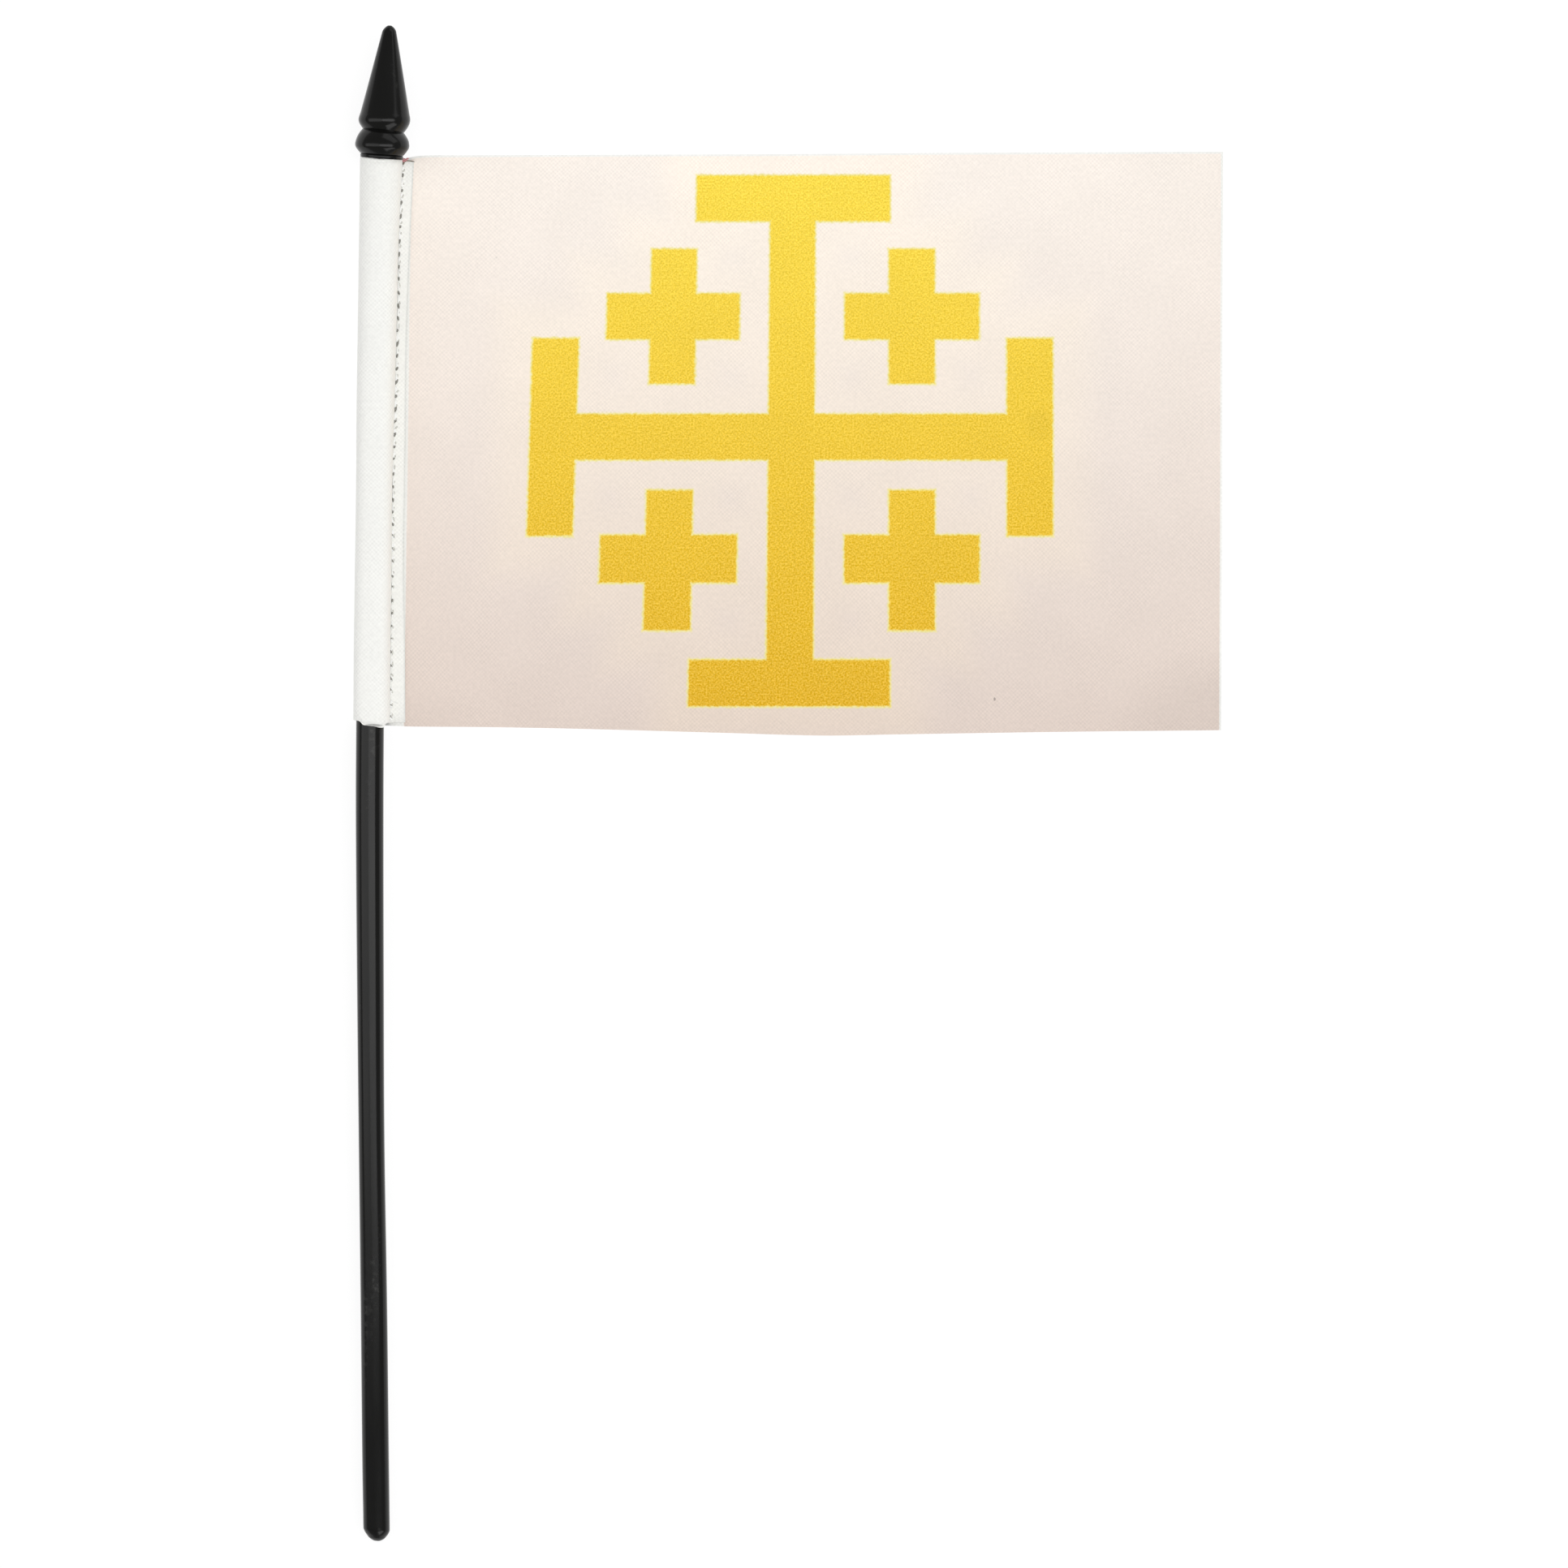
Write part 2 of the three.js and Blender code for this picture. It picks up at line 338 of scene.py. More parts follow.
@dataclass(frozen=True)
class PrintedPolyester:
    """Plain-woven polyester, dye-printed on one face up to a bare white hoist.

    The eye sees matt cloth with a fine weave, and print whose edges bleed a little along the
    threads into a pale yellow rim.
    """

    bare: str = "#f7f7f3"
    # The field's and the gold's colours at the cloth's top and foot. The fall between them is
    # painted shade, darker towards the foot.
    field_top: str = "#fef5ec"
    field_foot: str = "#e3d3c9"
    gold_top: str = "#ffe14d"
    gold_foot: str = "#e7b52d"
    rim: str = "#f5e98e"
    # How much the field is tinted between the figure's arms, in linear red, green and blue.
    tint: tuple[float, float, float] = (0.042, 0.033, 0.004)
    # The dye takes unevenly from thread to thread, so the gold is grainy.
    grain: tuple[float, float, float] = (1.0, 0.97, 0.32)
    figure: PotentCross = PotentCross()
    print_left: float = -66.95
    margin: float = 0.36
    # How much painted shade darkens the turned-over cut edge.
    edge_shade: float = 0.14
    speckle: float = 0.13
    speckle_mm: float = 0.3
    # The real threads are about 0.26 mm apart. They are drawn a bit coarser, so that they
    # show.
    thread_mm: float = 0.36
    specks_and_shade: tuple[SpeckAndShade, ...] = (
        # Small dark places of the cloth come first.
        SpeckAndShade(36.8, 16.4, 0.24, 0.38, 0.45),
        SpeckAndShade(44.7, 63.2, 3.0, 3.2, 0.05),
        SpeckAndShade(-52.0, 93.0, 0.2, 0.2, 0.1),
        # Painted shade darkens the fly's lower corner, and less its upper one.
        SpeckAndShade(80.0, 6.0, 26.0, 20.0, 0.07),
        SpeckAndShade(80.0, 113.0, 26.0, 18.0, 0.03),
        # Painted shade on the raw edge bent down over the pole, and on the small creases near the
        # sleeve's foot.
        SpeckAndShade(-82.85, 11.68, 1.95, 0.34, 0.5),
        SpeckAndShade(-91.4, 15.88, 1.0, 0.16, 0.1, 24),
        SpeckAndShade(-90.9, 14.9, 0.3, 0.12, 0.1, 10),
        SpeckAndShade(-79.8, 13.4, 0.5, 0.14, 0.06, 10),
    )
    cloth_top: float = 111.0
    cloth_foot: float = 9.0

    def specked_and_shaded(self, tree: bpy.types.NodeTree, flat: bpy.types.NodeSocket,
                tone: bpy.types.NodeSocket) -> bpy.types.NodeSocket:
        """Nodes that take the specks and the painted shade off the cloth's tone.

        Args:
            tree: the material's tree.
            flat: the output with the place on the flat cloth.
            tone: the output with the tone so far.

        Returns:
            The darkened tone's output.
        """
        node = partial(add, tree)
        for spot in self.specks_and_shade:
            seen_from = node("ShaderNodeMapping", {
                "Vector": flat, "Location": (spot.x, spot.y, 0.0),
                "Rotation": (0.0, 0.0, math.radians(spot.turn)),
                "Scale": (spot.wide, spot.high, 1.0)}, vector_type="TEXTURE")
            far = node("ShaderNodeVectorMath", {0: seen_from}, output="Value",
                       operation="LENGTH")
            dark = node("ShaderNodeMapRange", {
                "Value": far, "From Min": 0.5, "From Max": 1.1,
                "To Min": spot.depth, "To Max": 0.0}, interpolation_type="SMOOTHSTEP")
            tone = node("ShaderNodeMath", {0: tone, 1: dark}, operation="SUBTRACT")
        return tone

    def material(self, face: ClothFace) -> bpy.types.Material:
        """Make the material of one face.

        Args:
            face: the face, since the print shows paler on the reverse.

        Returns:
            The material.
        """
        made, shader = new_material(f"printed_polyester_{face.name.lower()}")
        node = partial(add, made.node_tree)

        flat = node("ShaderNodeUVMap", uv_map="flat_cloth")
        across, up, _ = node("ShaderNodeSeparateXYZ", {0: flat}).node.outputs
        cut = node("ShaderNodeUVMap", uv_map="from_cut_edges")
        from_side, from_top, _ = node("ShaderNodeSeparateXYZ", {0: cut}).node.outputs
        slub = node("ShaderNodeTexNoise", {"Vector": flat, "Scale": 1.6, "Detail": 4.0})
        cloudy = node("ShaderNodeTexNoise", {"Vector": flat, "Scale": 0.09, "Detail": 2.0})
        patchy = node("ShaderNodeTexNoise", {"Vector": flat, "Scale": 0.16, "Detail": 1.0})
        speckled = node("ShaderNodeTexNoise", {"Vector": flat, "Scale": 1 / self.speckle_mm,
                                               "Detail": 2.0})

        # What changes softly: its driver, between which values, and from what to what. Threads
        # have slubs where they are thicker, and the weave shows more in some places.
        soft = {}
        for name, driver, low, high, at_low, at_high in (
            ("weave", patchy, 0.38, 0.62, 0.02, 0.06),
            ("waver", slub, 0.25, 0.75, -0.12, 0.12),
            ("tone", slub, 0.3, 0.7, 0.96, 1.015),
            ("cloud", cloudy, 0.3, 0.7, -0.012, 0.012),
            ("rough", slub, 0.3, 0.7, 0.82, 0.92),
            ("speckle", speckled, 0.25, 0.75, -self.speckle, self.speckle),
            ("past_hoist", across, self.print_left, self.print_left + 0.3, 0.0, 1.0),
            ("past_fly", from_side, self.margin - 0.15, self.margin + 0.1, 0.0, 1.0),
            ("past_top", from_top, self.margin - 0.15, self.margin + 0.1, 0.0, 1.0),
            # Painted shade along the turned-over layer's cut edge.
            ("shaded_edge", from_side, -0.36, -0.1, 0.0, self.edge_shade),
            ("turned_over", across, -82.0, -80.0, 1.0, 0.0),
        ):
            soft[name] = node("ShaderNodeMapRange", {
                "Value": driver, "From Min": low, "From Max": high,
                "To Min": at_low, "To Max": at_high}, interpolation_type="SMOOTHSTEP")

        # Threads over and under one another.
        counted = node("ShaderNodeVectorMath", {0: flat, 3: math.pi / self.thread_mm},
                       operation="SCALE")
        waves = node("ShaderNodeVectorMath", {0: counted}, operation="SINE")
        weft, warp, _ = node("ShaderNodeSeparateXYZ", {0: waves}).node.outputs
        weave = node("ShaderNodeMath", {0: weft, 1: warp}, operation="MULTIPLY")
        seen = node("ShaderNodeMath", {0: weave, 1: soft["weave"]}, operation="MULTIPLY")

        # The figure's edge wavers by the thread, its dye bleeds out a little, and the field
        # about it is slightly tinted.
        outside = node("ShaderNodeMath", {
            0: self.figure.distance(made.node_tree, flat), 1: soft["waver"]}, operation="ADD")
        off_gold, bled, tinted = (
            node("ShaderNodeMapRange", {"Value": outside, "From Min": low, "From Max": high},
                 interpolation_type="SMOOTHSTEP")
            for low, high in ((-0.2, 0.14), (0.0, 0.5), (10.5, 1.5)))
        # Painted shade: the field and the gold are drawn darker towards the flag's foot.
        height = node("ShaderNodeMapRange", {"Value": up, "From Min": self.cloth_foot,
                                             "From Max": self.cloth_top})
        plain = node("ShaderNodeMix", {0: height, 6: linear(self.field_foot),
                                       7: linear(self.field_top)}, output=2, data_type="RGBA")
        field = node("ShaderNodeVectorMath", {0: tinted, 1: self.tint, 2: plain},
                     operation="MULTIPLY_ADD")
        gold_shaded_down = node("ShaderNodeMix", {0: height, 6: linear(self.gold_foot),
                                      7: linear(self.gold_top)}, output=2, data_type="RGBA")
        gold = node("ShaderNodeVectorMath", {0: soft["speckle"], 1: self.grain, 2: gold_shaded_down},
                    operation="MULTIPLY_ADD")
        edged = node("ShaderNodeMix", {0: bled, 6: linear(self.rim), 7: field}, output=2,
                     data_type="RGBA")
        printed = node("ShaderNodeMix", {0: off_gold, 6: gold, 7: edged}, output=2,
                       data_type="RGBA")

        # The print stops short of the hoist and of the cut edges, and is paler on the back.
        inside = soft["past_hoist"]
        for share in (soft["past_fly"], soft["past_top"],
                      0.72 if face is ClothFace.REVERSE else 1.0):
            inside = node("ShaderNodeMath", {0: inside, 1: share}, operation="MULTIPLY")
        colour = node("ShaderNodeMix", {0: inside, 6: linear(self.bare), 7: printed}, output=2,
                      data_type="RGBA")

        # Painted shade darkens the turned-over layer along its cut edge.
        tone = node("ShaderNodeMath", {0: soft["tone"], 1: soft["cloud"]}, operation="ADD")
        tone = node("ShaderNodeMath", {0: tone, 1: seen}, operation="ADD")
        shaded_edge = node("ShaderNodeMath", {0: soft["shaded_edge"], 1: soft["turned_over"]},
                      operation="MULTIPLY")
        tone = node("ShaderNodeMath", {0: tone, 1: shaded_edge}, operation="SUBTRACT")
        tone = self.specked_and_shaded(made.node_tree, flat, tone)
        toned = node("ShaderNodeVectorMath", {0: colour, 3: tone}, operation="SCALE")
        relief = node("ShaderNodeMath", {0: slub, 1: 0.8, 2: weave}, operation="MULTIPLY_ADD")
        bump = node("ShaderNodeBump", {"Height": relief, "Strength": 0.5, "Distance": 0.02 * MM})
        for name, source in (("Base Color", toned), ("Roughness", soft["rough"]),
                             ("Normal", bump)):
            made.node_tree.links.new(source, shader.inputs[name])
        shader.inputs["Specular IOR Level"].default_value = 0.25
        shader.inputs["Sheen Weight"].default_value = 0.08
        return made


@dataclass(frozen=True)
class SpunThread:
    """Spun polyester sewing thread, matt, with its twist just showing as slanting plies. Its grey
    copies are painted shade.
    """

    name: str
    colour: str
    twist: str
    ply_mm: float = 0.16

    def material(self) -> bpy.types.Material:
        """Make the material.

        Returns:
            The material, as nodes.
        """
        made, shader = new_material(self.name)
        node = partial(add, made.node_tree)
        place = node("ShaderNodeTexCoord", output="Object")
        slant = node("ShaderNodeMapping", {"Vector": place, "Rotation": (0.0, 0.0, 0.6)})
        # One dark line for each ply that turns over.
        ply = node("ShaderNodeTexWave", {"Vector": slant, "Distortion": 0.6,
                                         "Scale": 1 / (self.ply_mm * MM * 2 * math.pi)},
                   output="Fac", bands_direction="Y")
        colour = node("ShaderNodeMix", {0: ply, 6: linear(self.twist), 7: linear(self.colour)},
                      output=2, data_type="RGBA")
        bump = node("ShaderNodeBump", {"Height": ply, "Strength": 0.4, "Distance": 0.02 * MM})
        for name, source in (("Base Color", colour), ("Normal", bump)):
            made.node_tree.links.new(source, shader.inputs[name])
        shader.inputs["Roughness"].default_value = 0.8
        return made


@dataclass(frozen=True)
class BacklitAcrylic:
    """White acrylic ground, lit from behind, so that shadows on it stay faint."""

    white: str = "#6f6f6f"
    glow: str = "#ffffff"
    lift: float = 0.88

    def material(self) -> bpy.types.Material:
        """Make the material.

        Returns:
            The material, as nodes.
        """
        made, shader = new_material("backlit_white_acrylic")
        shader.inputs["Base Color"].default_value = linear(self.white)
        shader.inputs["Roughness"].default_value = 0.95
        shader.inputs["Specular IOR Level"].default_value = 0.1
        shader.inputs["Emission Color"].default_value = linear(self.glow)
        shader.inputs["Emission Strength"].default_value = self.lift
        return made


@dataclass
class SpearPole:
    """The one-piece moulding: spear head, waist, bead, slightly bent pole and rounded foot.

    lean and droop are how far a row's points move down the pole for each millimetre across
    and up. Sizes are in millimetres.
    """

    finish: MouldedPolypropylene = MouldedPolypropylene()
    tip_y: float = 133.4
    foot_y: float = -133.4
    droop: float = 0.11
    droop_over: float = 1.0
    sides: int = 72
    run_steps: int = 150
    foot_step: float = 0.2
    head_step: float = 1.0
    sharp_over: float = 42.0
    axis: MeasuredCurve = MeasuredCurve(
        ("y", "x", "z", "radius"),
        (
            (-133.4, -72.2, 2.26, 2.34),
            (-131.2, -72.2, 2.28, 2.34),
            (-120.0, -72.35, 2.43, 2.36),
            (-91.0, -72.65, 2.77, 2.34),
            (-62.0, -73.03, 3.08, 2.28),
            (-34.0, -73.22, 3.37, 2.37),
            (-5.0, -73.33, 3.66, 2.45),
            (10.0, -73.25, 3.8, 2.45),
            (35.0, -73.0, 4.03, 2.43),
            (60.0, -72.55, 4.25, 2.42),
            (85.0, -71.95, 4.45, 2.4),
            (112.6, -71.05, 4.67, 2.4),
            (117.5, -70.62, 4.71, 2.4),
            (133.4, -69.75, 4.85, 2.4),
        ),
    )
    head: MeasuredCurve = MeasuredCurve(
        ("below", "radius", "lean"),
        (
            (0.0, 0.35, 0.0),
            (0.3, 0.75, 0.0),
            (0.65, 1.05, 0.0),
            (1.1, 1.25, 0.0),
            (15.4, 4.32, 0.02),
            (15.95, 4.47, 0.03),
            (16.5, 4.55, 0.035),
            (17.0, 4.48, 0.05),
            (17.55, 4.25, 0.07),
            (18.2, 3.82, 0.1),
            (18.45, 3.62, 0.11),
            (18.5, 3.66, 0.11),
            (18.8, 3.9, 0.1),
            (19.15, 4.15, 0.09),
            (19.6, 4.41, 0.07),
            (20.1, 4.62, 0.05),
            (20.6, 4.74, 0.045),
            (21.05, 4.77, 0.045),
            (21.45, 4.68, 0.048),
            (21.75, 4.5, 0.05),
            (22.15, 4.2, 0.06),
            (22.58, 3.82, 0.07),
            (22.68, 3.68, 0.072),
            (22.8, 3.78, 0.074),
            (23.24, 3.73, 0.078),
            (23.34, 3.62, 0.078),
            (23.345, 2.4, 0.078),
        ),
    )
    foot: MeasuredCurve = MeasuredCurve(
        ("above", "radius", "lean"),
        (
            (0.0, 0.6, 0.11),
            (0.2, 1.0, 0.11),
            (0.5, 1.4, 0.11),
            (0.86, 1.7, 0.11),
            (1.3, 2.02, 0.11),
            (1.9, 2.3, 0.1),
            (2.3, 2.34, 0.09),
            (5.0, 2.342, 0.0),
        ),
    )

    def centre(self, y: float) -> tuple[float, float, float]:
        """The axis and radius at a height, as x, z and radius in millimetres."""
        return tuple(self.axis.read(column, y) for column in ("x", "z", "radius"))

    def outline(self) -> list[tuple[float, float, float]]:
        """The turned outline from the foot up.

        Returns:
            Rows of y, radius and how far the row leans for each millimetre across.
        """
        def finely(table: MeasuredCurve, longest: float) -> list[float]:
            """Places along a table, closer where its rows are close.

            Args:
                table: the table.
                longest: the longest step, in millimetres.

            Returns:
                The places, from the first row to the last.
            """
            places = []
            for (a, *_), (b, *_) in zip(table.rows, table.rows[1:]):
                steps = max(3, math.ceil((b - a) / longest))
                places += [blend(a, b, k / steps) for k in range(steps)]
            return [*places, table.rows[-1][0]]

        rows = [(self.foot_y + p, *(self.foot.read(c, p) for c in ("radius", "lean")))
                for p in finely(self.foot, self.foot_step)]
        low, high = rows[-1][0], self.tip_y - self.head.rows[-1][0]
        for k in range(1, self.run_steps):
            y = blend(low, high, k / self.run_steps)
            rows.append((y, self.axis.read("radius", y), 0.0))
        for p in reversed(finely(self.head, self.head_step)):
            rows.append((self.tip_y - p, *(self.head.read(c, p) for c in ("radius", "lean"))))
        return rows

    def build(self) -> bpy.types.Object:
        """Turn the outline, bend it along the axis and shave it flat where it rests.

        The head's and the foot's rows lean a little to the side, and the head droops.

        Returns:
            The pole.
        """
        head_foot = self.tip_y - self.head.rows[-1][0]
        points, rows = [], self.outline()
        for y, radius, lean in rows:
            x0, z0, _ = self.centre(y)
            drooped = smooth_step(0.0, self.droop_over, self.tip_y - y) if y >= head_foot else 0.0
            for k in range(self.sides):
                turn = 2 * math.pi * k / self.sides
                x, z = radius * math.cos(turn), radius * math.sin(turn)
                place_y = y - lean * x - self.droop * drooped * z
                points.append(Vector((x0 + x, place_y, max(0.0, z0 + z))) * MM)
        n, faces = self.sides, []
        for j in range(len(rows) - 1):
            for k in range(n):
                m = (k + 1) % n
                faces.append((j * n + k, (j + 1) * n + k, (j + 1) * n + m, j * n + m))
        faces.append(tuple(range(n)))
        faces.append(tuple((len(rows) - 1) * n + k for k in reversed(range(n))))
        return mesh_object("spear_pole", points, faces, creased_over=self.sharp_over)

    def dress(self, piece: bpy.types.Object) -> None:
        """Give the pole its finish and its place in the frame.

        Args:
            piece: the pole.
        """
        piece.data.materials.append(self.finish.material())
        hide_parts("pole")
        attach(piece, BODY)


@dataclass
class SleevedCloth:
    """The flag's one piece of cloth: its panel, and the sleeve turned over to the front.

    Sizes are in millimetres. The sleeve has ease beside the pole, slack over it and a bulge
    towards the seam, which it keeps clear of by the seam's room. curl lifts the turned-over
    cut edge, and layer_gap is the room between the layers.
    """

    pole: SpearPole
    finish: PrintedPolyester = PrintedPolyester()
    thickness: float = 0.24
    ease: float = 0.09
    slack: float = 0.42
    bulge: float = 0.62
    seam_room: float = 0.3
    curl: float = 0.08
    layer_gap: float = 0.05
    rows: int = 102
    lap_columns: int = 12
    wall_columns: int = 10
    over_columns: int = 28
    under_columns: int = 14
    panel_columns: int = 150
    fine_edge: tuple[float, ...] = (0.0, 0.1, 0.2, 0.3, 0.4, 0.5, 0.6, 0.7, 0.8, 0.9, 1.0, 1.2, 1.6)
    sharp_over: float = 60.0
    fly_top: float = 77.2
    fly_low: float = 76.85
    # Low ridges along the sleeve's rims, each by its place from the rim, width and height. At
    # the sleeve's foot the last of the cloth is bent down over the pole.
    foot_ridge: tuple[float, float, float] = (0.9, 0.18, 0.09)
    top_ridges: tuple[tuple[float, float, float], ...] = ((0.22, 0.14, 0.08), (0.55, 0.14, -0.06))
    bent_down: float = 0.38
    bent_over: tuple[float, float] = (0.15, 0.72)
    # Where the seam ends above the sleeve's foot, and how low its stitches may lie.
    seam_foot: float = 1.7
    seam_steps: int = 120
    least_height: float = 0.04
    # How far the print is drawn out at the flag's foot, and between which places below its middle.
    drawn_out: float = 1.4
    drawn_over: tuple[float, float] = (14.0, 46.0)
    sleeve: MeasuredCurve = MeasuredCurve(
        ("y", "fold", "seam", "edge", "roundness"),
        (
            (10.2, -76.15, -69.7, -67.2, 0.62),
            (24.0, -76.05, -69.6, -67.25, 0.62),
            (38.0, -75.85, -69.4, -67.45, 0.63),
            (52.0, -75.65, -69.3, -67.25, 0.65),
            (66.0, -75.55, -68.9, -67.1, 0.68),
            (80.0, -75.35, -68.5, -66.9, 0.74),
            (95.0, -75.15, -68.2, -66.4, 0.86),
            (110.4, -74.95, -67.5, -65.7, 1.0),
        ),
    )
    upper_edge: MeasuredCurve = MeasuredCurve(
        ("x", "y"),
        (
            (-76.0, 110.1),
            (-69.0, 110.1),
            (-65.0, 110.9),
            (-60.0, 111.05),
            (4.5, 111.3),
            (33.0, 111.5),
            (77.2, 111.7),
        ),
    )
    lower_edge: MeasuredCurve = MeasuredCurve(
        ("x", "y"),
        (
            (-76.0, 10.5),
            (-70.0, 10.3),
            (-66.5, 10.15),
            (-53.0, 10.05),
            (-38.5, 9.8),
            (-9.8, 9.0),
            (6.5, 8.55),
            (19.0, 8.75),
            (47.5, 9.2),
            (76.9, 9.5),
        ),
    )
    turnover_top: MeasuredCurve = MeasuredCurve(
        ("across", "y"),
        (
            (0.0, 110.25),
            (0.2, 109.95),
            (0.42, 109.64),
            (0.75, 109.98),
            (1.0, 109.87),
        ),
    )
    turnover_low: MeasuredCurve = MeasuredCurve(
        ("across", "y"),
        (
            (0.0, 11.3),
            (0.15, 11.0),
            (0.2, 10.42),
            (0.39, 10.16),
            (0.6, 9.93),
            (0.64, 10.6),
            (0.75, 10.85),
            (1.0, 10.9),
        ),
    )
    askew: MeasuredCurve = MeasuredCurve(
        ("u", "slope"),
        (
            (-80.0, 0.014),
            (-66.0, 0.014),
            (-41.0, 0.033),
            (-20.5, 0.02),
            (0.9, 0.007),
            (21.0, 0.0),
            (80.0, 0.0),
        ),
    )
    folds: tuple[Fold, ...] = (
        Fold(-59.0, 43.0, -28, 13, 6, 0.45),
        Fold(-57.0, 82.0, 14, 14, 6, 0.4),
        Fold(-68.5, 58.0, 90, 60, 6.5, 1.2),
        Fold(6.5, 10.0, 90, 17, 14, 0.7),
        Fold(76.0, 48.0, 96, 26, 8, 0.6),
        Fold(30.0, 110.0, 4, 24, 6, 0.4),
    )

    def lie(self, x: float, y: float) -> float:
        """How high the panel's middle surface lies at a place, in millimetres."""
        ridges = sum(fold.rise(x, y) for fold in self.folds)
        return self.thickness / 2 + max(0.0, ridges)

    def across_sleeve(self, share: float) -> dict[str, float]:
        """The sleeve's measures at a share of the way up.

        Args:
            share: the share of the way up.

        Returns:
            Its fold, seam, cut edge, roundness and y, by name.
        """
        rows = self.sleeve.rows
        y = blend(rows[0][0], rows[-1][0], share)
        return {c: self.sleeve.read(c, y) for c in self.sleeve.columns[1:]} | {"y": y}

    def back_point(self, x: float, z: float, share: float) -> Vector:
        """A point of the back layer or the panel."""
        low, top = self.lower_edge.read("y", x), self.upper_edge.read("y", x)
        return Vector((x, blend(low, top, share), z))

    def shares(self) -> list[float]:
        """The rows' shares of the way up, closer together near the cut edges.

        Returns:
            The shares, from 0 to 1.
        """
        height = self.sleeve.rows[-1][0] - self.sleeve.rows[0][0]
        steps = self.rows
        low = [d / height for d in self.fine_edge]
        middle = [blend(low[-1], 1 - low[-1], k / steps) for k in range(1, steps)]
        return [*low, *middle, *(1 - share for share in reversed(low))]

    def edge_roll(self, share: float) -> float:
        """How far the sleeve's rim stands up, in millimetres.

        Args:
            share: the share of the way up the flag.

        Returns:
            The height, negative where the cloth is bent down.
        """
        height = self.sleeve.rows[-1][0] - self.sleeve.rows[0][0]
        low, top = share * height, (1 - share) * height

        def ridge(from_rim: float, place: float, width: float, rise: float) -> float:
            """The height of one rounded ridge."""
            return rise * math.exp(-(((from_rim - place) / width) ** 2))

        bent_down = -self.bent_down * (1 - smooth_step(*self.bent_over, low))
        return (bent_down + ridge(low, *self.foot_ridge)
                + sum(ridge(top, *shape) for shape in self.top_ridges))

    def row(self, share: float) -> list[Vector]:
        """One row of the cloth's middle surface, from the turned-over cut edge to the fly.

        Args:
            share: the share of the way up the flag.

        Returns:
            Its points, in millimetres.
        """
        sleeve = self.across_sleeve(share)
        pole_x, pole_z, radius = self.pole.centre(sleeve["y"])
        reach = radius + self.ease + self.thickness / 2
        aside = max(reach, pole_x - sleeve["fold"] - self.thickness / 2)
        high = reach + self.slack + self.edge_roll(share)
        row = []

        def front(x: float, z: float) -> None:
            """Add a point of the turned-over layer.

            Args:
                x: its place across.
                z: its height.
            """
            across = (x - sleeve["fold"]) / (sleeve["edge"] - sleeve["fold"])
            low = self.turnover_low.read("y", across)
            top = self.turnover_top.read("y", across)
            row.append(Vector((x, blend(low, top, share), z)))

        # The turned-over layer lies on the panel up to the seam. Beside it stands the sleeve's
        # wall, and from its widest place the cloth goes over the pole and down to the fold.
        lift = self.thickness + self.layer_gap
        wall = sleeve["seam"] - self.seam_room
        for k in range(self.lap_columns):
            x = blend(sleeve["edge"], wall, k / (self.lap_columns - 1))
            curled = self.curl * (1 - smooth_step(0.0, 1.0, sleeve["edge"] - x))
            front(x, self.lie(x, sleeve["y"]) + lift + curled)
        wall_z, wide = row[-1].z, reach + self.bulge
        for k in range(1, self.wall_columns + 1):
            share_up = k / self.wall_columns
            front(blend(wall, pole_x + wide, share_up), blend(wall_z, pole_z, share_up))
        for k in range(1, self.over_columns + 1):
            angle = math.pi * k / self.over_columns
            side = wide if 2 * k < self.over_columns else -aside
            front(pole_x + side * abs(math.cos(angle)) ** sleeve["roundness"],
                  pole_z + high * abs(math.sin(angle)) ** sleeve["roundness"])

        # Past the fold it runs back under the pole, and on as the panel.
        fold = row[-1]
        drop = pole_z - self.lie(pole_x, sleeve["y"])
        for k in range(1, self.under_columns + 1):
            angle = blend(math.pi, 1.5 * math.pi, k / self.under_columns)
            x, z = pole_x + aside * math.cos(angle), pole_z + drop * math.sin(angle)
            back = self.back_point(x, z, share)
            back.y = blend(fold.y, back.y, (x - pole_x + aside) / aside)
            row.append(back)
        fly = blend(self.fly_low, self.fly_top, share)
        for k in range(1, self.panel_columns + 1):
            x = blend(pole_x, fly, k / self.panel_columns)
            row.append(self.back_point(x, self.lie(x, sleeve["y"]), share))
        return row

    def seam_line(self, from_top: float, aside: float, under: bool) -> list[Vector]:
        """The seam's line on a face of the cloth, from its top to the flag's foot.

        Args:
            from_top: how far below the sleeve's top it starts, in millimetres.
            aside: how far it is set towards the fly, in millimetres.
            under: whether it is on the back of the flag.

        Returns:
            Its points, in metres.
        """
        low = self.sleeve.rows[0][0] + self.seam_foot
        top = self.sleeve.rows[-1][0] - from_top
        points = []
        for k in range(self.seam_steps + 1):
            y = blend(top, low, k / self.seam_steps)
            x = self.sleeve.read("seam", y) + aside
            z = self.lie(x, y)
            z += -self.thickness / 2 if under else 1.5 * self.thickness + self.layer_gap
            points.append(Vector((x, y, max(z, self.least_height))) * MM)
        return points

    def flat_places(self, row: list[Vector]) -> list[tuple[float, float]]:
        """Where a row's points are on the flat cloth, in the print's millimetres.

        The panel lies a little askew at the hoist and drawn out at its foot, so the print
        does too.

        Args:
            row: the row's points.

        Returns:
            Pairs across and up the flat cloth.
        """
        middle_y = self.finish.figure.y
        places, u = [], row[-1].x
        for i in reversed(range(len(row))):
            if i < len(row) - 1:
                u -= math.dist((row[i].x, row[i].z), (row[i + 1].x, row[i + 1].z))
            y = row[i].y
            drawn = self.drawn_out * smooth_step(*self.drawn_over, middle_y - y)
            places.append((u - self.askew.read("slope", u) * (y - middle_y), y + drawn))
        return places[::-1]

